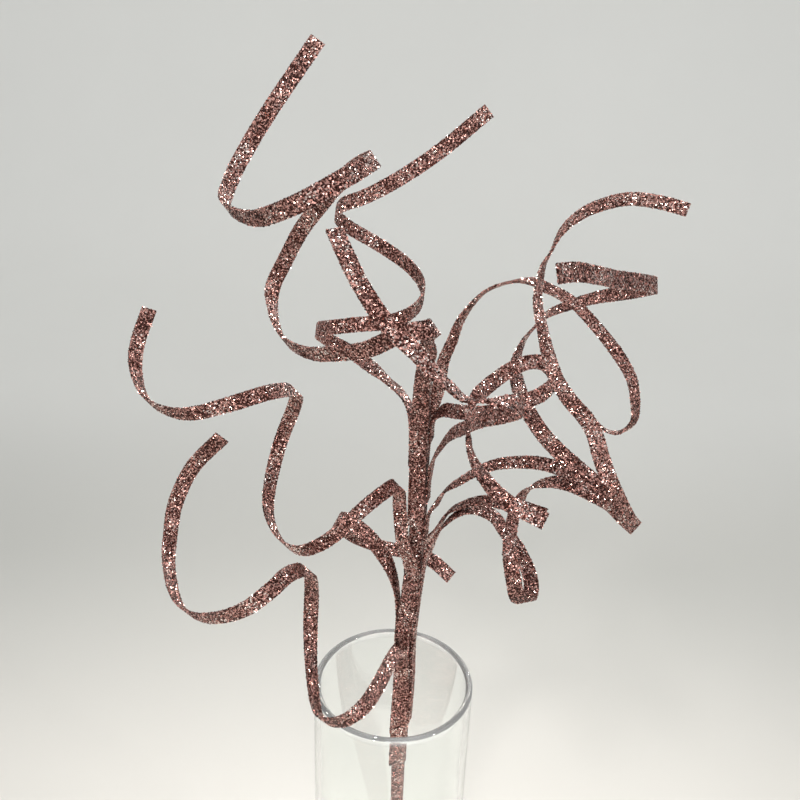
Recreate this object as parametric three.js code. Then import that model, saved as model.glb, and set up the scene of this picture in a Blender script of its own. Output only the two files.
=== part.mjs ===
import * as THREE from "three";

// Decorative curly willow pick standing in a straight glass vase.
// Millimetres, +Z up. The origin is the centre of the vase's foot; -Y is the side the curls open to.

// Driving dimensions.
const TOUCH_GAP = 0.3; // clear space between two pieces that touch
const PARTING_GAP = 0.9; // clear space where a strip starts to leave the stem
const VASE_HEIGHT = 202;
const VASE_RADIUS = 35;
const VASE_WALL = 3;
const VASE_FLOOR = 11; // thickness of the solid glass base
const FOOT_ROUND = 2; // rounding of the outer edge of the foot
const WELL_ROUND = 5; // rounding where the inside wall meets the floor
const STRIP_THICKNESS = 1.2;

// Fineness of the meshes.
const VASE_SIDES = 96;
const ROUND_STEPS = 5; // points on each rounded edge of the vase
const STEM_STEPS = 5; // rings between two points of the stem
const STRIP_STEPS = 5; // sections between two points of a curl
const SEAT_SPACING = 15; // greatest height between two points of a strip against the stem
const FEWEST_SEATS = 3; // points that even a short root has against the stem
const HALVINGS = 30; // steps of the search for a height on the stem

// The stem is a bundle of strips bound into one rod: it leans back on the rim and bows forward above it.
// It has four flats with blunt corners between them, and a row's radius is the reach of a flat.
const FLAT_FACES = 255; // degrees round the stem that one flat faces
const FLAT_REACH = 0.84; // half of a flat's width, in parts of the radius
const STEM_FOOT = VASE_FLOOR + TOUCH_GAP;
const STEM_ROUTE = [
  { at: [2, 0, STEM_FOOT], radius: 2.5 },
  { at: [3, 7, 60], radius: 2.6 },
  { at: [4, 13, 105], radius: 2.8 },
  { at: [4, 19, 145], radius: 3.2 },
  { at: [5, 23, 175], radius: 3.2 },
  { at: [5, 25, 195], radius: 3.2 },
  { at: [5, 26, 207], radius: 3.2 },
  { at: [7, 28, 235], radius: 3.2 },
  { at: [8, 28, 262], radius: 3.2 },
  { at: [8, 27, 297], radius: 3.2 },
  { at: [8, 24, 318], radius: 3.2 },
  { at: [8, 17, 348], radius: 2.6 },
];

// Each curl leaves the bundle on one side (degrees round the stem, 270 faces -Y), between two heights,
// and runs on through the points listed. A row is x, y, z; three more numbers, where given,
// are the direction that the strip's width leans from there on. Its root is as wide as the rest,
// unless rootWidth says otherwise.
const CURLS = [
  {
    width: 6.5,
    rootWidth: 7.6,
    side: 255,
    heights: [135, 186],
    run: [
      [3, 17, 200], [2, 10, 211, -7, 0, 7], [-2, -10, 221], [-6, -31, 229], [-10, -46, 234],
      [-15, -52, 233], [-21, -50, 227], [-28, -41, 219], [-32, -28, 215], [-35, -12, 221], [-36, -3, 234],
      [-35, -6, 256], [-35, -19, 276], [-40, -38, 289], [-46, -50, 290], [-57, -51, 281],
      [-73, -41, 269], [-86, -24, 262], [-93, -6, 266], [-94, 6, 275], [-92, 11, 286],
      [-84, 11, 303], [-70, 3, 322],
    ],
  },
  {
    width: 6.1,
    rootWidth: 7.4,
    side: 255,
    heights: [206, 246],
    run: [
      [2, 20, 262, -7, 0, 8], [0, 20, 281], [-1, 13, 296], [-7, -2, 302], [-16, -15, 301],
      [-26, -19, 292], [-38, -16, 283], [-48, -4, 280], [-54, 10, 283], [-54, 21, 292],
      [-50, 26, 308], [-44, 22, 326], [-42, 10, 340], [-50, -5, 347], [-63, -15, 347],
      [-80, -13, 341], [-96, 0, 338], [-104, 14, 342], [-105, 22, 351], [-100, 27, 365],
    ],
  },
  {
    width: 6.8,
    rootWidth: 6,
    side: 165,
    heights: [150, 217],
    run: [
      [0, 30, 229, 2, 9, 2], [-3, 29, 241, 4, 8, 3], [-7, 28, 250, 6, 6, 5], [-13, 28, 259, 7, 4, 6],
      [-20, 30, 264, 6, 4, 7], [-26, 35, 263], [-28, 41, 256, 4, 4, 8], [-25, 47, 249], [-20, 52, 241],
      [-14, 55, 236], [-8, 57, 232], [-2, 58, 230], [5, 58, 229], [12, 57, 228], [19, 54, 225, 5, 4, 8],
      [26, 52, 219, 5, 6, 6],
    ],
  },
  {
    width: 6.3,
    rootWidth: 7.4,
    side: 255,
    heights: [268, 328],
    run: [
      [7, 8, 349, -9, 1, 1], [8, -17, 372, -9, 1, 4], [7, -29, 384, -6, 1, 8], [9, -38, 391],
      [5, -45, 393], [-1, -47, 393], [-7, -44, 388], [-13, -40, 383], [-22, -33, 378], [-33, -20, 371],
      [-43, -2, 366], [-49, 13, 366], [-52, 25, 369], [-52, 30, 375], [-47, 28, 386],
      [-40, 21, 401], [-32, 12, 414], [-26, 2, 424], [-18, -8, 434], [-12, -19, 440],
      [-17, -33, 440], [-24, -42, 438], [-32, -45, 434], [-40, -41, 429], [-49, -31, 423],
      [-58, -15, 419], [-64, 1, 417], [-65, 14, 418], [-62, 25, 425], [-52, 35, 441],
      [-35, 43, 465],
    ],
  },
  {
    width: 6.1,
    side: 165,
    heights: [298, 320],
    run: [
      [2, 28, 326], [-2, 32, 330], [-8, 38, 332, 1, 9, -1], [-15, 46, 334, 1, 8, 4], [-23, 52, 337],
      [-32, 48, 344, 1, 5, 9], [-36, 38, 353], [-29, 26, 360], [-18, 21, 364, 1, 3, 10],
      [-7, 22, 365], [1, 30, 365],
      [6, 44, 365], [6, 59, 366], [1, 72, 368], [-7, 80, 371], [-17, 83, 376],
      [-25, 79, 382], [-30, 68, 391], [-27, 55, 400], [-17, 49, 406], [-4, 48, 414],
      [11, 52, 424], [29, 60, 438],
    ],
  },
  {
    width: 6,
    rootWidth: 5.6,
    side: 345,
    heights: [280, 294],
    run: [
      [13, 18, 306], [15, 6, 319], [18, -9, 334, 3, 6, 7], [22, -21, 344], [27, -34, 355],
      [32, -45, 363, 1, 6, 8], [37, -55, 371], [35, -64, 378, 1, 6, 7], [29, -71, 382, 0, 10, -1],
      [23, -74, 384, 0, 9, -5], [19, -75, 385], [16, -76, 387, 2, 10, -2], [12, -77, 391, 3, 10, -1],
      [8, -76, 394, 5, 8, 1], [4, -74, 398], [-1, -72, 402, 8, 6, 2], [-7, -69, 407],
      [-15, -61, 416], [-23, -46, 426, 8, 6, 1],
    ],
  },
  {
    width: 6.1,
    side: 75,
    heights: [268, 306],
    run: [
      [11, 30, 320], [14, 28, 334, 9, 4, -2], [15, 26, 346], [18, 25, 356, 7, 6, -3], [21, 26, 365],
      [26, 28, 372], [32, 34, 375, 0, 9, -5], [41, 42, 375], [50, 50, 372],
      [57, 55, 368, 6, 8, 0], [69, 57, 361], [80, 54, 351], [88, 48, 343, 9, 4, 1],
      [93, 38, 337], [94, 29, 331], [92, 19, 327, 5, 8, -4], [86, 13, 325], [80, 10, 327],
      [76, 11, 330, 1, 9, -4],
    ],
  },
  {
    width: 6.1,
    side: 345,
    heights: [260, 272],
    run: [
      [15, 24, 279, 5, 8, -3], [19, 24, 287], [25, 24, 292, 2, 10, 1], [33, 24, 298],
      [41, 23, 302], [51, 20, 305], [60, 15, 307, 1, 8, 6], [71, 8, 306], [80, -1, 303],
      [86, -13, 302, 6, 6, 6], [87, -28, 308], [80, -43, 322], [73, -50, 336],
      [69, -50, 344, 9, 4, 3], [67, -43, 348], [66, -35, 351], [64, -25, 352],
      [60, -12, 352, 7, 6, 4], [56, -1, 355], [54, 11, 359], [52, 22, 366],
      [51, 33, 372, 5, 8, -2], [53, 43, 380], [57, 50, 386], [61, 54, 393],
      [67, 53, 400, 0, 9, 5], [74, 48, 406], [83, 41, 411], [93, 35, 412],
      [103, 30, 411, 0, 8, 6],
    ],
  },
  {
    width: 6.4,
    rootWidth: 6.1,
    side: 345,
    heights: [158, 244],
    run: [
      [14, 24, 256, 4, 8, -3], [17, 22, 267], [22, 21, 275, 2, 10, -1], [28, 20, 280],
      [34, 19, 281], [40, 19, 278, 6, 8, 2], [45, 17, 272], [51, 10, 267],
      [55, -2, 262, 9, 3, 2], [53, -15, 262], [47, -25, 271], [44, -28, 283, 9, 3, -2],
      [42, -25, 292], [43, -16, 298], [46, -6, 302, 6, 7, -4], [52, 2, 304], [59, 4, 306],
      [66, 0, 308, 2, 9, 5], [74, -8, 309], [79, -17, 311], [80, -25, 314, 6, 5, 6],
      [75, -31, 322], [70, -33, 329], [63, -28, 333, 6, 6, 5], [57, -18, 334], [52, -4, 334],
      [48, 12, 335, 9, 5, 2], [46, 28, 336], [46, 42, 339], [50, 54, 344, 3, 9, -4],
      [56, 62, 348], [61, 65, 352], [70, 66, 356, 0, 10, 3], [80, 61, 362], [89, 50, 369],
      [94, 34, 378, 0, 7, 8], [92, 17, 386], [81, -3, 395], [70, -19, 402], [60, -36, 410],
      [51, -49, 416], [43, -61, 420],
    ],
  },
  {
    width: 6.2,
    rootWidth: 5.8,
    side: 345,
    heights: [311, 323],
    run: [
      [16, 20, 328, 0, 8, 4], [20, 16, 330, 0, 8, 6], [24, 10, 333], [30, 6, 335], [37, 4, 338],
      [47, 5, 342, 0, 6, 8], [54, 10, 343], [59, 20, 344], [56, 28, 346, 0, 5, 9],
      [50, 28, 347], [42, 23, 346], [34, 13, 345, 0, 9, 5], [28, 2, 345], [25, -7, 343],
      [24, -16, 341, 1, 9, -5], [24, -20, 340], [24, -25, 339], [25, -29, 337, 3, 9, -3],
      [27, -34, 335, 5, 9, -2], [29, -38, 334], [32, -42, 332, 6, 7, 2], [35, -46, 331],
      [38, -50, 331, 5, 6, 6], [43, -54, 331], [49, -56, 329, 4, 5, 8],
    ],
  },
  {
    width: 6.1,
    side: 75,
    heights: [132, 240],
    run: [
      [12, 34, 252], [17, 32, 262, 4, 9, -3], [21, 27, 274], [26, 21, 282], [33, 19, 286],
      [40, 14, 289], [48, 2, 295], [56, -12, 301, 1, 8, 6],
    ],
  },
];

const glass = {
  color: 0xe6efec,
  roughness: 0.05,
  metalness: 0,
  transparent: true,
  opacity: 0.35,
};
const stemGlitter = { color: 0x7d5a52, roughness: 0.5, metalness: 0.6 };
const curlGlitter = { color: 0x8f6a62, roughness: 0.45, metalness: 0.6 };

// A closed skin over rings of equal count that run anticlockwise seen from ahead, with a cap at each end.
function skin(rings) {
  const sides = rings[0].length;
  const places = rings.flat().flatMap((point) => point.toArray());
  const faces = [];
  for (let ring = 0; ring + 1 < rings.length; ring++) {
    for (let side = 0; side < sides; side++) {
      const here = ring * sides + side;
      const beside = ring * sides + ((side + 1) % sides);
      faces.push(here, beside, beside + sides);
      faces.push(here, beside + sides, here + sides);
    }
  }
  const last = (rings.length - 1) * sides;
  for (let side = 1; side + 1 < sides; side++) {
    faces.push(0, side + 1, side);
    faces.push(last, last + side, last + side + 1);
  }
  const geometry = new THREE.BufferGeometry();
  geometry.setAttribute("position", new THREE.Float32BufferAttribute(places, 3));
  geometry.setIndex(faces);
  geometry.computeVertexNormals();
  return geometry;
}

// Points on a quarter or half round in the profile plane, as [radius, height].
function arc(centre, size, startDegrees, endDegrees) {
  const points = [];
  for (let step = 0; step <= ROUND_STEPS; step++) {
    const turn = THREE.MathUtils.degToRad(
      startDegrees + ((endDegrees - startDegrees) * step) / ROUND_STEPS,
    );
    points.push([centre[0] + size * Math.cos(turn), centre[1] + size * Math.sin(turn)]);
  }
  return points;
}

// Straight cylinder vase: thick flat foot, rounded well and a fire-polished rim.
function vaseGeometry() {
  const inside = VASE_RADIUS - VASE_WALL;
  const lip = VASE_WALL / 2;
  const profile = [
    ...arc([VASE_RADIUS - FOOT_ROUND, FOOT_ROUND], FOOT_ROUND, -90, 0),
    ...arc([VASE_RADIUS - lip, VASE_HEIGHT - lip], lip, 0, 180),
    ...arc([inside - WELL_ROUND, VASE_FLOOR + WELL_ROUND], WELL_ROUND, 0, -90),
  ];
  const rings = profile.map(([radius, height]) => {
    const ring = [];
    for (let side = 0; side < VASE_SIDES; side++) {
      const turn = (2 * Math.PI * side) / VASE_SIDES;
      ring.push(new THREE.Vector3(radius * Math.cos(turn), radius * Math.sin(turn), height));
    }
    return ring;
  });
  return skin(rings);
}

const UPWARD = new THREE.Vector3(0, 0, 1);
const stemCurve = new THREE.CatmullRomCurve3(
  STEM_ROUTE.map((row) => new THREE.Vector3(...row.at)),
  false,
  "catmullrom",
  0.5,
);

// Radius of the bundle at a part (0 to 1) of the way along its route.
function stemRadius(part) {
  const place = part * (STEM_ROUTE.length - 1);
  const row = Math.min(Math.floor(place), STEM_ROUTE.length - 2);
  return THREE.MathUtils.lerp(STEM_ROUTE[row].radius, STEM_ROUTE[row + 1].radius, place - row);
}

// Where the stem is at a height: the part of its route that reaches it.
function stemPartAt(height) {
  let low = 0;
  let high = 1;
  for (let halving = 0; halving < HALVINGS; halving++) {
    const middle = (low + high) / 2;
    if (stemCurve.getPoint(middle).z < height) low = middle;
    else high = middle;
  }
  return low;
}

function stemGeometry() {
  const count = STEM_STEPS * (STEM_ROUTE.length - 1);
  const rings = [];
  for (let step = 0; step <= count; step++) {
    const part = step / count;
    const centre = stemCurve.getPoint(part);
    const ring = [];
    for (let quarter = 0; quarter < 4; quarter++) {
      const turn = THREE.MathUtils.degToRad(FLAT_FACES + 90 * quarter);
      for (const along of [-FLAT_REACH, FLAT_REACH]) {
        const corner = new THREE.Vector3(1, along, 0).multiplyScalar(stemRadius(part));
        ring.push(corner.applyAxisAngle(UPWARD, turn).add(centre));
      }
    }
    rings.push(ring);
  }
  return skin(rings);
}

// A place for a strip's middle line beside the bundle, at a side and height and clear of it by a gap.
function seat(sideDegrees, height, gap) {
  const part = stemPartAt(height);
  const turn = THREE.MathUtils.degToRad(sideDegrees);
  const reach = stemRadius(part) + gap + STRIP_THICKNESS / 2;
  const place = stemCurve.getPoint(part);
  place.x += reach * Math.cos(turn);
  place.y += reach * Math.sin(turn);
  return place;
}

// The lean at each point of a run, filled in evenly between the rows that give one.
function leansAlong(given) {
  const known = given.map((lean, index) => (lean ? index : -1)).filter((index) => index >= 0);
  return given.map((lean, index) => {
    const before = known.filter((row) => row <= index).pop();
    const after = known.find((row) => row >= index) ?? before;
    const share = after > before ? (index - before) / (after - before) : 0;
    return given[before].clone().lerp(given[after], share);
  });
}

// A flat strip that starts against the bundle and follows its run.
function curlGeometry({ width, rootWidth = width, side, heights, run }) {
  const [low, high] = heights;
  const seats = Math.max(FEWEST_SEATS, 1 + Math.ceil((high - low) / SEAT_SPACING));
  const points = [];
  for (let step = 0; step + 1 < seats; step++) {
    points.push(seat(side, low + ((high - low) * step) / (seats - 1), TOUCH_GAP));
  }
  points.push(seat(side, high, PARTING_GAP));
  run.forEach(([x, y, z]) => points.push(new THREE.Vector3(x, y, z)));
  const firstLean = run.find((row) => row.length > 3).slice(3);
  const turn = THREE.MathUtils.degToRad(side);
  const rootLean = new THREE.Vector3(-Math.sin(turn), Math.cos(turn), 0);
  if (rootLean.dot(new THREE.Vector3(...firstLean)) < 0) rootLean.negate();
  const leans = leansAlong([
    ...Array(seats).fill(rootLean),
    ...run.map((row) => (row.length > 3 ? new THREE.Vector3(...row.slice(3)).normalize() : null)),
  ]);
  const widths = points.map((_, index) => (index < seats ? rootWidth : width));
  const curve = new THREE.CatmullRomCurve3(points, false, "catmullrom", 0.5);
  const count = STRIP_STEPS * (points.length - 1);
  const rings = [];
  for (let step = 0; step <= count; step++) {
    const part = step / count;
    const row = Math.min(Math.floor(step / STRIP_STEPS), points.length - 2);
    const share = step / STRIP_STEPS - row;
    const ahead = curve.getTangent(part);
    const halfWidth = THREE.MathUtils.lerp(widths[row], widths[row + 1], share) / 2;
    const across = leans[row].clone().lerp(leans[row + 1], share);
    across.addScaledVector(ahead, -across.dot(ahead)).normalize();
    const outward = ahead.clone().cross(across);
    const centre = curve.getPoint(part);
    const corner = (wide, thick) =>
      centre
        .clone()
        .addScaledVector(across, wide * halfWidth)
        .addScaledVector(outward, (thick * STRIP_THICKNESS) / 2);
    rings.push([corner(1, 1), corner(-1, 1), corner(-1, -1), corner(1, -1)]);
  }
  return skin(rings);
}

function piece(name, geometry, finish) {
  const mesh = new THREE.Mesh(geometry, new THREE.MeshStandardMaterial(finish));
  mesh.name = name;
  return mesh;
}

const willow = new THREE.Group();
willow.name = "curly_willow_in_vase";
willow.add(piece("vase", vaseGeometry(), glass));
willow.add(piece("stem", stemGeometry(), stemGlitter));
CURLS.forEach((curl, index) => {
  willow.add(piece("curl_" + (index + 1), curlGeometry(curl), curlGlitter));
});

export default willow;
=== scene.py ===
"""Curly willow pick in a glass vase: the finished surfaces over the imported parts, with its stage."""

import math

import bmesh
import bpy
from mathutils import Matrix, Vector


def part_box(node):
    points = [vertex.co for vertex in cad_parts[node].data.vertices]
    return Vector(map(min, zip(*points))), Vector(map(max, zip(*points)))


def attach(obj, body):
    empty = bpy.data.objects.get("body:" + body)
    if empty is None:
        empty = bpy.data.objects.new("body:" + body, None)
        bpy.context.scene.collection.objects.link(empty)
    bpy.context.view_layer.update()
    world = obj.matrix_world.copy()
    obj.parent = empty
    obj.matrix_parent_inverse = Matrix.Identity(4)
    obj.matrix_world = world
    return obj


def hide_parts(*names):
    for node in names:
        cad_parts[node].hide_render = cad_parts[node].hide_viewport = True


bl_info = {
    "name": "Curly willow in a vase",
    "version": (1, 0, 0),
    "blender": (4, 5, 0),
    "location": "3D View > Sidebar > Willow",
    "description": "Glitter-coated curly willow strips bound to a stem, standing in a clear glass vase",
    "category": "Object",
}

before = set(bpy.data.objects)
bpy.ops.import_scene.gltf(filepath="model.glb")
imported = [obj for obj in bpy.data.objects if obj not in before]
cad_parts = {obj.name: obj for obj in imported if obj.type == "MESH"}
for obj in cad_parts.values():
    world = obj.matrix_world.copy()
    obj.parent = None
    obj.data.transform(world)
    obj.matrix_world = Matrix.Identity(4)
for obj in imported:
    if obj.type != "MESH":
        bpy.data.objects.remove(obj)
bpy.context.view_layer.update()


def linear(hex_colour):
    """The linear colour of an sRGB hex value such as "8f6a62"."""
    channels = [int(hex_colour[i : i + 2], 16) / 255 for i in (0, 2, 4)]
    return [c / 12.92 if c <= 0.04045 else ((c + 0.055) / 1.055) ** 2.4 for c in channels]


def opaque(colour):
    """A linear colour with its alpha."""
    return (*colour, 1.0)


MM = 0.001
CURL_NAMES = sorted(
    (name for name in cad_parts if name.startswith("curl_")),
    key=lambda name: int(name.split("_")[1]),
)

# The vase's mesh.
VASE_SIDES = 192
FOOT_ROUND = 2 * MM
FOOT_STEPS = 5
WELL_ROUND = 5 * MM
WELL_STEPS = 8
RIM_SHARE = 0.49  # of the wall, by which both edges of the rim are rounded
RIM_STEPS = 6
CLOSE = 0.1 * MM  # how near a face or an edge is to the place that it is picked by
SHARP = 1.0  # radians between the two faces at an edge that gets rounded

# The glitter.
FLAKE_DEPTH = 0.55  # of a flake's width
FLAKE_LIFT = 0.1 * MM  # height of a level flake above the paint
FLAKE_SMALLEST = (0.65, 0.65, 0.8)  # scales of a flake's two widths and its depth
FLAKE_LARGEST = (1.25, 1.25, 1.2)
FLAKES_TRIED = 5 / MM**2  # on each square metre; those too near another are left out
DARKEST_SHADE = 0.02  # of a flake; the paint has none
PAINTED_LIGHT_SHIFT = 0.26  # most that a painted light patch lightens or darkens its flakes, as painted highlight and painted shade
DUST_GRAIN = 0.5 * MM
DUST_SHADOW = linear("1f0c08")
# The bare paint, and a flake of metallised film under its lacquer.
PAINT = {"Roughness": 0.55, "Specular IOR Level": 0.2, "Coat Weight": 0.0}
FILM = {"Roughness": 0.25, "Specular IOR Level": 0.5, "Coat Weight": 0.25}

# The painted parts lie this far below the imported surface, so the flakes end about level with it.
STEM_SINK = 0.2 * MM
CURL_SINK = 0.22 * MM
STEM_LEVELS = 1  # of subdivision
CURL_LEVELS = 2
SEED_STEP = 10  # between two curls

# A noise stays within this span nearly everywhere.
NOISE_LOW = 0.3
NOISE_HIGH = 0.7

# The stage, in metres, from the centre of the vase's foot.
PAPER_FRONT = -1.6
PAPER_WIDTH = 4.0
PAPER_RISE = 2.2
SWEEP_STEPS = 32
WILLOW_MIDDLE = (0, 0, 0.3)
PAPER_BEND = (0, 1.4, 0.2)
# Each softbox: its name, which is also that of the setting for its power, place, size and aim.
SOFTBOXES = (
    ("overhead", (-0.05, 0.0, 1.3), (0.9, 0.7), WILLOW_MIDDLE),
    ("backdrop", (0, 1.1, 1.2), (2.6, 0.3), PAPER_BEND),
    ("left", (-1.3, -0.3, 1.3), (0.5, 0.9), WILLOW_MIDDLE),
    ("right", (1.3, -0.1, 1.2), (0.4, 0.8), WILLOW_MIDDLE),
    ("front", (0.3, -1.5, 0.75), (1.0, 0.7), WILLOW_MIDDLE),
)
# Each glint lamp: its name, place and share of the power in the glint setting.
GLINT_LAMPS = (
    ("front", (-0.25, -0.6, 1.2), 1),
    ("right", (0.95, -0.65, 0.55), 1),
    ("left", (-0.9, 0.2, 0.9), 1),
    ("top", (-0.1, 0.3, 1.3), 1),
    ("low", (-0.35, -0.9, 0.12), 1 / 3),
    ("back", (0.5, 0.8, 0.5), 2),
)
GLINT_SIZE = (0.1, 0.1)
GLINT_SPREAD = math.radians(60)  # of the beam, narrow enough to leave the paper alone
AIR_COLOUR = linear("f4f6f8")
AIR_STRENGTH = 0.45
CAMERA_PLACE = (-0.0014, -0.3467, 0.5328)
CAMERA_PITCH = 28.7  # degrees down from level, looking along +Y
CAMERA_ROLL = 2  # degrees


# ---- Settings ----


class VaseSettings(bpy.types.PropertyGroup):
    radius: bpy.props.FloatProperty(
        name="Radius",
        description="Outer radius of the glass cylinder",
        default=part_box("vase")[1].x,
        unit="LENGTH",
    )
    height: bpy.props.FloatProperty(
        name="Height",
        description="Height of the vase from foot to rim",
        default=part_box("vase")[1].z,
        unit="LENGTH",
    )
    wall: bpy.props.FloatProperty(
        name="Wall",
        description="Thickness of the glass wall",
        default=3 * MM,
        unit="LENGTH",
    )
    base: bpy.props.FloatProperty(
        name="Base",
        description="Thickness of the solid glass base",
        default=11 * MM,
        unit="LENGTH",
    )
    tint: bpy.props.FloatVectorProperty(
        name="Glass tint",
        description="Colour that the clear glass gives to what is behind it",
        default=linear("fbfdfc"),
        size=3,
        min=0,
        max=1,
        subtype="COLOR",
    )


class GlitterSettings(bpy.types.PropertyGroup):
    flake: bpy.props.FloatProperty(
        name="Flake width",
        description="Width of one flake of glitter across its corners",
        default=0.75 * MM,
        unit="LENGTH",
    )
    spacing: bpy.props.FloatProperty(
        name="Flake spacing",
        description="Least distance between the middles of two flakes",
        default=0.49 * MM,
        unit="LENGTH",
    )
    # Size of the patches of painted highlight and painted shade laid over the flakes.
    painted_light_patch: bpy.props.FloatProperty(
        name="Drift length",
        description="Size of the paler and darker patches that the flakes fall in",
        default=10 * MM,
        unit="LENGTH",
    )
    tilt: bpy.props.FloatProperty(
        name="Flake tilt",
        description="Greatest tilt of a flake off the surface that it is glued to",
        default=math.radians(27),
        subtype="ANGLE",
    )
    # The flake colours, deep to pale, are given out at random as painted reflection and painted shade.
    deep: bpy.props.FloatVectorProperty(
        name="Deep flakes",
        description="Colour of the darkest flakes and of the paint between them",
        default=linear("421d14"),
        size=3,
        min=0,
        max=1,
        subtype="COLOR",
    )
    rose: bpy.props.FloatVectorProperty(
        name="Rose flakes",
        description="Colour of most of the flakes",
        default=linear("d5a196"),
        size=3,
        min=0,
        max=1,
        subtype="COLOR",
    )
    pale: bpy.props.FloatVectorProperty(
        name="Pale flakes",
        description="Colour of the palest flakes",
        default=linear("fff0e8"),
        size=3,
        min=0,
        max=1,
        subtype="COLOR",
    )
    seed: bpy.props.IntProperty(
        name="Seed",
        description="Chooses how the flakes fall",
        default=7,
    )


class StageSettings(bpy.types.PropertyGroup):
    # The three paper colours paint the light on the paper: lighter near the vase and far back, with
    # painted shade in the middle.
    far_paper: bpy.props.FloatVectorProperty(
        name="Far paper",
        description="Colour of the upright end of the seamless paper",
        default=linear("e3e3df"),
        size=3,
        min=0,
        max=1,
        subtype="COLOR",
    )
    middle_paper: bpy.props.FloatVectorProperty(
        name="Middle paper",
        description="Colour of the paper on the ground behind the vase",
        default=linear("cdcdc8"),
        size=3,
        min=0,
        max=1,
        subtype="COLOR",
    )
    near_paper: bpy.props.FloatVectorProperty(
        name="Near paper",
        description="Colour of the paper around the foot of the vase",
        default=linear("dfddd7"),
        size=3,
        min=0,
        max=1,
        subtype="COLOR",
    )
    fold: bpy.props.FloatProperty(
        name="Fold distance",
        description="How far behind the vase the paper starts to curve upwards",
        default=0.9,
        unit="LENGTH",
    )
    sweep: bpy.props.FloatProperty(
        name="Sweep radius",
        description="Radius of the curve between the floor and the wall of the paper",
        default=0.5,
        unit="LENGTH",
    )
    overhead: bpy.props.FloatProperty(
        name="Overhead light",
        description="Power of the softbox above the vase",
        default=1,
        unit="POWER",
    )
    front: bpy.props.FloatProperty(
        name="Front light",
        description="Power of the softbox above the camera",
        default=8,
        unit="POWER",
    )
    left: bpy.props.FloatProperty(
        name="Left light",
        description="Power of the softbox at the left",
        default=0.6,
        unit="POWER",
    )
    right: bpy.props.FloatProperty(
        name="Right light",
        description="Power of the softbox at the right",
        default=1.8,
        unit="POWER",
    )
    backdrop: bpy.props.FloatProperty(
        name="Backdrop light",
        description="Power of the softbox above the far end of the paper",
        default=5.8,
        unit="POWER",
    )
    glint: bpy.props.FloatProperty(
        name="Glint light",
        description="Power of each small lamp that makes the flakes sparkle",
        default=0.35,
        unit="POWER",
    )
    lens: bpy.props.FloatProperty(
        name="Lens",
        description="Focal length of the camera in millimetres",
        default=47.25,
        unit="CAMERA",
    )


# ---- Helpers ----


def alone(piece):
    """Leaves one piece selected and active, in object mode."""
    if bpy.context.object and bpy.context.object.mode != "OBJECT":
        bpy.ops.object.mode_set(mode="OBJECT")
    bpy.ops.object.select_all(action="DESELECT")
    piece.select_set(True)
    bpy.context.view_layer.objects.active = piece


def pick(piece, kind, test):
    """In edit mode, selects only the faces ("FACE") or edges ("EDGE") whose middle passes the test."""
    bpy.ops.mesh.select_mode(type=kind)
    bpy.ops.mesh.select_all(action="DESELECT")
    shape = bmesh.from_edit_mesh(piece.data)
    for part in shape.faces if kind == "FACE" else shape.edges:
        middle = sum((vertex.co for vertex in part.verts), Vector()) / len(part.verts)
        if test(middle, part):
            part.select_set(True)
    shape.select_flush_mode()
    bmesh.update_edit_mesh(piece.data)


def sharp_rings(level, radii):
    """A test for the sharp edges that run round the vase at a height and at one of some radii."""
    return lambda middle, edge: (
        abs(middle.z - level) < CLOSE
        and any(abs(middle.xy.length - radius) < CLOSE for radius in radii)
        and edge.calc_face_angle() > SHARP
    )


def apply_modifier(kind, **settings):
    """Adds a modifier to the active piece and applies it at once."""
    bpy.ops.object.modifier_add(type=kind)
    modifier = bpy.context.object.modifiers[-1]
    for name, value in settings.items():
        setattr(modifier, name, value)
    bpy.ops.object.modifier_apply(modifier=modifier.name)


def settle(piece, name):
    """Names a finished piece and moves its place into its mesh."""
    alone(piece)
    piece.name = piece.data.name = name
    bpy.ops.object.transform_apply(location=True, rotation=True, scale=True)
    return piece


def add_lamp(name, place, aim, size, power, colour):
    """Adds a rectangular lamp that faces a point."""
    turn = (Vector(aim) - Vector(place)).to_track_quat("-Z", "Y").to_euler()
    bpy.ops.object.light_add(type="AREA", location=place, rotation=turn)
    lamp = bpy.context.object
    lamp.name = name
    lamp.data.shape = "RECTANGLE"
    lamp.data.size, lamp.data.size_y = size
    lamp.data.energy = power
    lamp.data.color = linear(colour)
    return lamp


def add_node(tree, kind, settings=None, inputs=None):
    """Adds a node; an input is given a value, or the socket that feeds it."""
    node = tree.nodes.new(kind)
    for name, value in (settings or {}).items():
        setattr(node, name, value)
    for key, value in (inputs or {}).items():
        if isinstance(value, bpy.types.NodeSocket):
            tree.links.new(value, node.inputs[key])
        else:
            node.inputs[key].default_value = value
    return node


# ---- Finishes ----


def new_material(name):
    """An empty node material, with its tree."""
    material = bpy.data.materials.new(name)
    material.use_nodes = True
    material.node_tree.nodes.clear()
    return material, material.node_tree


def set_ramp(node, stops):
    """Gives a colour ramp its stops, each a position and a linear colour."""
    ramp = node.color_ramp
    while len(ramp.elements) < len(stops):
        ramp.elements.new(1.0)
    for element, (position, colour) in zip(ramp.elements, stops):
        element.position = position
        element.color = opaque(colour)


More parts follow.
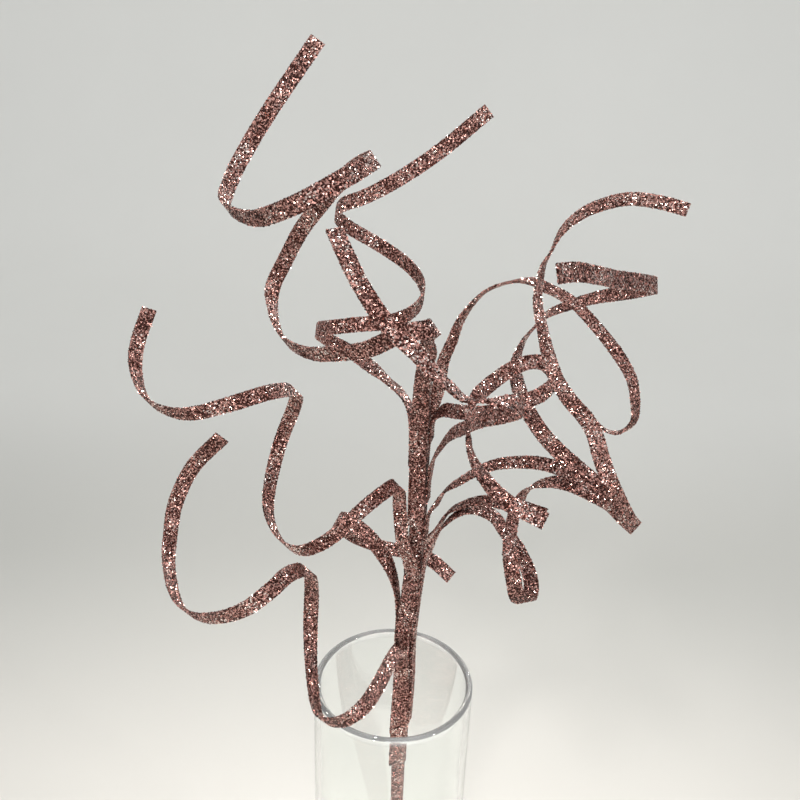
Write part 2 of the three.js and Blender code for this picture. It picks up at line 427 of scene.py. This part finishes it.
def metallised_film_glitter(settings):
    """Rose-gold glitter: flakes die-cut from metallised polyester film, sprinkled on wet paint.

    Each flake is a small flat mirror under a tinted lacquer, so neighbours differ by what they face.
    Each flake's colour is also painted at random from almost black to white, a painted reflection and
    shade.
    Between them shows a matt brown paint with finer glitter dust.
    Real flakes are about 0.4 mm wide. These are drawn nearly twice as wide, so that they show.
    """
    material, tree = new_material("metallised_film_glitter")
    shade = add_node(tree, "ShaderNodeAttribute", {"attribute_name": "shade"})
    flake_colour = add_node(tree, "ShaderNodeValToRGB", inputs={"Fac": shade.outputs["Fac"]})
    # The flake's painted shade picks its colour: deep flakes are painted shade, pale ones painted
    # highlight.
    set_ramp(
        flake_colour,
        [
            (0.0, settings.deep),
            (0.35, settings.deep),
            (0.44, settings.rose),
            (0.75, settings.rose),
            (1.0, settings.pale),
        ],
    )
    coordinates = add_node(tree, "ShaderNodeTexCoord")
    dust = add_node(
        tree,
        "ShaderNodeTexVoronoi",
        inputs={"Vector": coordinates.outputs["Object"], "Scale": 1 / DUST_GRAIN},
    )
    dust_value = add_node(tree, "ShaderNodeSeparateColor", inputs={"Color": dust.outputs["Color"]})
    dust_colour = add_node(
        tree, "ShaderNodeValToRGB", inputs={"Fac": dust_value.outputs["Red"]}
    )
    set_ramp(dust_colour, [(0.0, DUST_SHADOW), (0.6, settings.deep), (1.0, settings.rose)])
    # The paint has no shade, so half that of the darkest flake tells the two apart.
    on_flake = add_node(
        tree,
        "ShaderNodeMath",
        {"operation": "GREATER_THAN"},
        {0: shade.outputs["Fac"], 1: DARKEST_SHADE / 2},
    )
    colour = add_node(
        tree,
        "ShaderNodeMix",
        {"data_type": "RGBA"},
        {
            0: on_flake.outputs[0],
            6: dust_colour.outputs["Color"],
            7: flake_colour.outputs["Color"],
        },
    )
    paint_or_film = {
        name: add_node(
            tree,
            "ShaderNodeMapRange",
            inputs={"Value": on_flake.outputs[0], "To Min": PAINT[name], "To Max": FILM[name]},
        ).outputs[0]
        for name in PAINT
    }
    shader = add_node(
        tree,
        "ShaderNodeBsdfPrincipled",
        inputs={
            "Base Color": colour.outputs[2],
            "Metallic": on_flake.outputs[0],
            "Coat Roughness": 0.1,
            **paint_or_film,
        },
    )
    add_node(tree, "ShaderNodeOutputMaterial", inputs={"Surface": shader.outputs[0]})
    return material


def drawn_soda_lime_glass(settings):
    """Clear soda-lime glass, drawn as a tube and fire-polished at the rim.

    The walls all but vanish, the rim and the base gather grey lines, and long soft waves left by
    the drawing bend what is seen through the wall a little.
    """
    material, tree = new_material("drawn_soda_lime_glass")
    coordinates = add_node(tree, "ShaderNodeTexCoord")
    wave_width = 25 * MM
    wave_stretch = 10  # down the wall
    stretched = add_node(
        tree,
        "ShaderNodeMapping",
        inputs={"Vector": coordinates.outputs["Object"], "Scale": (1, 1, 1 / wave_stretch)},
    )
    waves = add_node(
        tree,
        "ShaderNodeTexNoise",
        inputs={"Vector": stretched.outputs[0], "Scale": 1 / wave_width, "Detail": 1},
    )
    bump = add_node(
        tree,
        "ShaderNodeBump",
        inputs={"Height": waves.outputs[0], "Strength": 0.15, "Distance": 0.3 * MM},
    )
    # Painted light: the top of the rim lets less light through and shows the white tint instead, so it
    # reads as mid grey and not black.
    rim_lightening_start = settings.height - 4 * MM
    rim_lightening_full = settings.height - 2 * MM
    rim_clearness = 0.76
    place = add_node(
        tree, "ShaderNodeSeparateXYZ", inputs={"Vector": coordinates.outputs["Object"]}
    )
    clearness = add_node(
        tree,
        "ShaderNodeMapRange",
        inputs={
            "Value": place.outputs["Z"],
            "From Min": rim_lightening_start,
            "From Max": rim_lightening_full,
            "To Min": 1.0,
            "To Max": rim_clearness,
        },
    )
    shader = add_node(
        tree,
        "ShaderNodeBsdfPrincipled",
        inputs={
            "Base Color": opaque(settings.tint),
            "Roughness": 0.0,
            "IOR": 1.52,
            "Transmission Weight": clearness.outputs[0],
            "Normal": bump.outputs[0],
        },
    )
    add_node(tree, "ShaderNodeOutputMaterial", inputs={"Surface": shader.outputs[0]})
    return material


def matt_seamless_paper(settings):
    """Seamless background paper: matt and faintly mottled, with no gloss.

    Its colour is painted white around the vase, a painted pool of light, turns softly to a pale grey
    behind it, a painted shade, and lightens again further back, painted light from the backdrop.
    """
    material, tree = new_material("matt_seamless_paper")
    coordinates = add_node(tree, "ShaderNodeTexCoord")
    place = add_node(
        tree, "ShaderNodeSeparateXYZ", inputs={"Vector": coordinates.outputs["Object"]}
    )
    # The painted light and shade on the paper change with distance behind the vase.
    change_start = 0.02  # metres behind the middle of the vase
    change_end = 0.72
    distance = add_node(
        tree,
        "ShaderNodeMapRange",
        inputs={"Value": place.outputs["Y"], "From Min": change_start, "From Max": change_end},
    )
    shade = add_node(tree, "ShaderNodeValToRGB", inputs={"Fac": distance.outputs[0]})
    shade.color_ramp.interpolation = "EASE"
    set_ramp(
        shade,
        [(0.0, settings.near_paper), (0.45, settings.middle_paper), (0.9, settings.far_paper)],
    )
    patch_size = 1 / 6  # metres
    darkest_patch = 0.985  # share of the paper's colour that it keeps
    mottle = add_node(
        tree,
        "ShaderNodeTexNoise",
        inputs={"Vector": coordinates.outputs["Object"], "Scale": 1 / patch_size, "Detail": 3},
    )
    dimming = add_node(
        tree,
        "ShaderNodeMapRange",
        inputs={
            "Value": mottle.outputs[0],
            "From Min": NOISE_LOW,
            "From Max": NOISE_HIGH,
            "To Min": darkest_patch,
            "To Max": 1.0,
        },
    )
    colour = add_node(
        tree,
        "ShaderNodeVectorMath",
        {"operation": "SCALE"},
        {0: shade.outputs["Color"], "Scale": dimming.outputs[0]},
    )
    shader = add_node(
        tree,
        "ShaderNodeBsdfPrincipled",
        inputs={
            "Base Color": colour.outputs[0],
            "Roughness": 0.9,
            "Specular IOR Level": 0.2,
        },
    )
    add_node(tree, "ShaderNodeOutputMaterial", inputs={"Surface": shader.outputs[0]})
    return material


# ---- Glitter-coated pieces ----


def glitter_coat(flake, settings, seed):
    """A node group that scatters flakes over a surface: even spacing, random turn, tilt and size."""
    tree = bpy.data.node_groups.new("glitter_coat", "GeometryNodeTree")
    tree.interface.new_socket("Geometry", in_out="INPUT", socket_type="NodeSocketGeometry")
    tree.interface.new_socket("Geometry", in_out="OUTPUT", socket_type="NodeSocketGeometry")
    surface = add_node(tree, "NodeGroupInput")
    points = add_node(
        tree,
        "GeometryNodeDistributePointsOnFaces",
        {"distribute_method": "POISSON"},
        {
            "Mesh": surface.outputs[0],
            "Distance Min": settings.spacing,
            "Density Max": FLAKES_TRIED,
            "Seed": seed,
        },
    )
    # A random painted shade for each flake, from dark to pale, standing in for what it reflects.
    random_painted_shade = add_node(
        tree, "FunctionNodeRandomValue", {"data_type": "FLOAT"}, {2: 0.0, 3: 1.0, "Seed": seed}
    )
    # Painted light: in patches the flakes are painted paler, a painted highlight, and in others darker,
    # a painted shade.
    painted_light_patch = add_node(
        tree, "ShaderNodeTexNoise", inputs={"Scale": 1 / settings.painted_light_patch, "Detail": 1}
    )
    patch_light_shift = add_node(
        tree,
        "ShaderNodeMapRange",
        inputs={
            "Value": painted_light_patch.outputs[0],
            "From Min": NOISE_LOW,
            "From Max": NOISE_HIGH,
            "To Min": -PAINTED_LIGHT_SHIFT,
            "To Max": PAINTED_LIGHT_SHIFT,
        },
    )
    mixed = add_node(
        tree,
        "ShaderNodeMath",
        {"operation": "ADD"},
        {0: random_painted_shade.outputs[1], 1: patch_light_shift.outputs[0]},
    )
    shade = add_node(
        tree,
        "ShaderNodeClamp",
        inputs={"Value": mixed.outputs[0], "Min": DARKEST_SHADE, "Max": 1.0},
    )
    shaded = add_node(
        tree,
        "GeometryNodeStoreNamedAttribute",
        {"data_type": "FLOAT", "domain": "POINT"},
        {
            "Geometry": points.outputs["Points"],
            "Name": "shade",
            "Value": shade.outputs[0],
        },
    )
    lean = add_node(
        tree,
        "FunctionNodeRandomValue",
        {"data_type": "FLOAT_VECTOR"},
        {
            0: (-settings.tilt, -settings.tilt, -math.pi),
            1: (settings.tilt, settings.tilt, math.pi),
            "Seed": seed + 1,
        },
    )
    turned = add_node(
        tree,
        "FunctionNodeRotateRotation",
        {"rotation_space": "LOCAL"},
        {"Rotation": points.outputs["Rotation"], "Rotate By": lean.outputs[0]},
    )
    size = add_node(
        tree,
        "FunctionNodeRandomValue",
        {"data_type": "FLOAT_VECTOR"},
        {0: FLAKE_SMALLEST, 1: FLAKE_LARGEST, "Seed": seed + 2},
    )
    flake_shape = add_node(
        tree, "GeometryNodeObjectInfo", {"transform_space": "ORIGINAL"}, {"Object": flake}
    )
    flakes = add_node(
        tree,
        "GeometryNodeInstanceOnPoints",
        inputs={
            "Points": shaded.outputs[0],
            "Instance": flake_shape.outputs["Geometry"],
            "Rotation": turned.outputs[0],
            "Scale": size.outputs[0],
        },
    )
    solid_flakes = add_node(
        tree, "GeometryNodeRealizeInstances", inputs={"Geometry": flakes.outputs[0]}
    )
    joined = add_node(tree, "GeometryNodeJoinGeometry")
    tree.links.new(solid_flakes.outputs[0], joined.inputs[0])
    tree.links.new(surface.outputs[0], joined.inputs[0])
    add_node(tree, "NodeGroupOutput", inputs={0: joined.outputs[0]})
    return tree


def one_flake(settings, material):
    """A four-cornered flake, face up, on a short point that is sunk in the glue."""
    depth = FLAKE_DEPTH * settings.flake
    bpy.ops.object.select_all(action="DESELECT")
    bpy.ops.mesh.primitive_cone_add(
        vertices=4, radius1=0, radius2=settings.flake / 2, depth=depth, location=(0, 0, 0)
    )
    flake = bpy.context.object
    bpy.ops.object.mode_set(mode="EDIT")
    bpy.ops.mesh.select_all(action="SELECT")
    bpy.ops.transform.translate(value=(0, 0, FLAKE_LIFT - depth / 2))
    bpy.ops.object.mode_set(mode="OBJECT")
    flake.data.materials.append(material)
    return flake


def strip_base(node_name, sink, levels):
    """The painted strip under the flakes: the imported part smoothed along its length, edges kept."""
    bpy.ops.object.select_all(action="DESELECT")
    piece = bpy.data.objects.new(node_name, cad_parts[node_name].data.copy())
    bpy.context.scene.collection.objects.link(piece)
    alone(piece)
    piece.data.materials.clear()
    bpy.ops.object.mode_set(mode="EDIT")
    bpy.ops.mesh.select_mode(type="VERT")
    bpy.ops.mesh.select_all(action="SELECT")
    bpy.ops.mesh.remove_doubles(threshold=0.01 * MM)
    bpy.ops.mesh.tris_convert_to_quads(
        face_threshold=math.radians(40), shape_threshold=math.radians(70)
    )
    bpy.ops.transform.shrink_fatten(value=-sink, use_even_offset=True)
    # A full crease holds the long edges sharp while the faces between them are smoothed.
    bpy.ops.mesh.select_mode(type="EDGE")
    bpy.ops.mesh.select_all(action="DESELECT")
    bpy.ops.mesh.edges_select_sharp(sharpness=math.radians(55))
    bpy.ops.transform.edge_crease(value=1)
    bpy.ops.object.mode_set(mode="OBJECT")
    apply_modifier("SUBSURF", levels=levels, render_levels=levels)
    bpy.ops.object.shade_smooth_by_angle(angle=math.radians(40))
    return piece


def coated_piece(settings, node_name, seed, sink, levels):
    """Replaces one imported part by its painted, glitter-coated piece."""
    material = bpy.data.materials.get("metallised_film_glitter")
    material = material or metallised_film_glitter(settings)
    piece = strip_base(node_name, sink, levels)
    piece.data.materials.append(material)
    flake = one_flake(settings, material)
    coat = glitter_coat(flake, settings, seed)
    alone(piece)
    apply_modifier("NODES", node_group=coat)
    flake_mesh = flake.data
    bpy.data.objects.remove(flake)
    bpy.data.meshes.remove(flake_mesh)
    bpy.data.node_groups.remove(coat)
    settle(piece, f"glitter_{node_name}")
    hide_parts(node_name)
    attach(piece, "root")


# ---- Operators ----


class WILLOW_OT_vase(bpy.types.Operator):
    """Model the clear glass vase"""

    bl_idname = "willow.vase"
    bl_label = "Glass Vase"

    def execute(self, context):
        settings = context.scene.willow_vase
        radius, height, wall, base = settings.radius, settings.height, settings.wall, settings.base
        inside = radius - wall
        bpy.ops.object.select_all(action="DESELECT")
        bpy.ops.mesh.primitive_cylinder_add(
            vertices=VASE_SIDES, radius=radius, depth=height, location=(0, 0, height / 2)
        )
        vase = bpy.context.object
        settle(vase, "glass_vase")
        bpy.ops.object.mode_set(mode="EDIT")
        pick(vase, "FACE", lambda middle, face: middle.z > height - CLOSE)
        bpy.ops.mesh.inset(thickness=wall)
        # The middle of the top is pressed down to the floor of the well.
        pick(
            vase,
            "FACE",
            lambda middle, face: middle.z > height - CLOSE and middle.xy.length < CLOSE,
        )
        bpy.ops.mesh.extrude_region_move(TRANSFORM_OT_translate={"value": (0, 0, base - height)})
        # Each rounding: the height and radii of its edges, its size and its steps.
        rounds = (
            (0, (radius,), FOOT_ROUND, FOOT_STEPS),
            (base, (inside,), WELL_ROUND, WELL_STEPS),
            (height, (radius, inside), RIM_SHARE * wall, RIM_STEPS),
        )
        for level, radii, size, steps in rounds:
            pick(vase, "EDGE", sharp_rings(level, radii))
            bpy.ops.mesh.bevel(offset=size, segments=steps, affect="EDGES")
        bpy.ops.object.mode_set(mode="OBJECT")
        bpy.ops.object.shade_smooth()
        # The tall wall faces keep their own normals, so the wall refracts as a plain cylinder.
        apply_modifier("WEIGHTED_NORMAL", mode="FACE_AREA", weight=100)
        vase.data.materials.append(drawn_soda_lime_glass(settings))
        # Clear glass lets nearly all light through, so it casts no shadow.
        vase.visible_shadow = False
        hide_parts("vase")
        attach(vase, "root")
        return {"FINISHED"}


class WILLOW_OT_stem(bpy.types.Operator):
    """Coat the bound stem with glitter"""

    bl_idname = "willow.stem"
    bl_label = "Bound Stem"

    def execute(self, context):
        settings = context.scene.willow_glitter
        coated_piece(settings, "stem", settings.seed, STEM_SINK, STEM_LEVELS)
        return {"FINISHED"}


class WILLOW_OT_curls(bpy.types.Operator):
    """Coat every curled strip with glitter"""

    bl_idname = "willow.curls"
    bl_label = "Curled Strips"

    def execute(self, context):
        if not CURL_NAMES:
            raise RuntimeError("the frame holds no curls")
        settings = context.scene.willow_glitter
        for number, name in enumerate(CURL_NAMES, start=1):
            seed = settings.seed + SEED_STEP * number
            coated_piece(settings, name, seed, CURL_SINK, CURL_LEVELS)
        return {"FINISHED"}


class WILLOW_OT_stage(bpy.types.Operator):
    """Set up the paper, the lights and the camera"""

    bl_idname = "willow.stage"
    bl_label = "Stage"

    def execute(self, context):
        settings = context.scene.willow_stage
        scene = context.scene
        back = settings.fold + settings.sweep
        bpy.ops.object.select_all(action="DESELECT")
        bpy.ops.mesh.primitive_plane_add(size=1, location=(0, 0, 0))
        paper = bpy.context.object
        paper.scale = (PAPER_WIDTH, back - PAPER_FRONT, 1)
        paper.location = (0, (back + PAPER_FRONT) / 2, 0)
        settle(paper, "seamless_paper")
        bpy.ops.object.mode_set(mode="EDIT")
        pick(paper, "EDGE", lambda middle, edge: middle.y > back - CLOSE)
        bpy.ops.mesh.extrude_region_move(TRANSFORM_OT_translate={"value": (0, 0, PAPER_RISE)})
        pick(
            paper, "EDGE", lambda middle, edge: middle.y > back - CLOSE and abs(middle.z) < CLOSE
        )
        bpy.ops.mesh.bevel(offset=settings.sweep, segments=SWEEP_STEPS, affect="EDGES")
        bpy.ops.object.mode_set(mode="OBJECT")
        bpy.ops.object.shade_smooth_by_angle(angle=math.radians(30))
        paper.data.materials.append(matt_seamless_paper(settings))

        for name, place, size, aim in SOFTBOXES:
            add_lamp(f"{name}_softbox", place, aim, size, getattr(settings, name), "ffffff")
        for name, place, share in GLINT_LAMPS:
            power = share * settings.glint
            lamp = add_lamp(
                f"{name}_glint_lamp", place, WILLOW_MIDDLE, GLINT_SIZE, power, "fffaf6"
            )
            lamp.data.spread = GLINT_SPREAD
        world = bpy.data.worlds.new("studio")
        world.use_nodes = True
        world.node_tree.nodes.clear()
        air = add_node(
            world.node_tree,
            "ShaderNodeBackground",
            inputs={"Color": opaque(AIR_COLOUR), "Strength": AIR_STRENGTH},
        )
        add_node(world.node_tree, "ShaderNodeOutputWorld", inputs={"Surface": air.outputs[0]})
        scene.world = world
        scene.view_settings.view_transform = "Standard"

        turn = Matrix.Rotation(math.radians(90 - CAMERA_PITCH), 4, "X") @ Matrix.Rotation(
            math.radians(CAMERA_ROLL), 4, "Z"
        )
        bpy.ops.object.camera_add(location=CAMERA_PLACE, rotation=turn.to_euler())
        camera = bpy.context.object
        camera.name = "camera"
        camera.data.lens = settings.lens
        camera.data.clip_start = 0.01
        scene.camera = camera
        return {"FINISHED"}


# ---- Panel and registration ----

PANEL_ROWS = (
    ("willow_vase", ("willow.vase",)),
    ("willow_glitter", ("willow.stem", "willow.curls")),
    ("willow_stage", ("willow.stage",)),
)


class WILLOW_PT_panel(bpy.types.Panel):
    """Sizes and colours of the willow and its vase"""

    bl_label = "Curly Willow"
    bl_idname = "WILLOW_PT_panel"
    bl_space_type = "VIEW_3D"
    bl_region_type = "UI"
    bl_category = "Willow"

    def draw(self, context):
        layout = self.layout
        for group, operators in PANEL_ROWS:
            settings = getattr(context.scene, group)
            box = layout.box()
            for name in settings.__annotations__:
                box.prop(settings, name)
            for operator in operators:
                box.operator(operator)


GROUPS = {
    "willow_vase": VaseSettings,
    "willow_glitter": GlitterSettings,
    "willow_stage": StageSettings,
}
CLASSES = (
    *GROUPS.values(),
    WILLOW_OT_vase,
    WILLOW_OT_stem,
    WILLOW_OT_curls,
    WILLOW_OT_stage,
    WILLOW_PT_panel,
)


def register():
    for entry in CLASSES:
        bpy.utils.register_class(entry)
    for name, group in GROUPS.items():
        setattr(bpy.types.Scene, name, bpy.props.PointerProperty(type=group))


def unregister():
    for name in GROUPS:
        delattr(bpy.types.Scene, name)
    for entry in reversed(CLASSES):
        bpy.utils.unregister_class(entry)


def main():
    register()
    bpy.ops.willow.stage()
    bpy.ops.willow.vase()
    bpy.ops.willow.stem()
    bpy.ops.willow.curls()


if __name__ == "__main__":
    main()
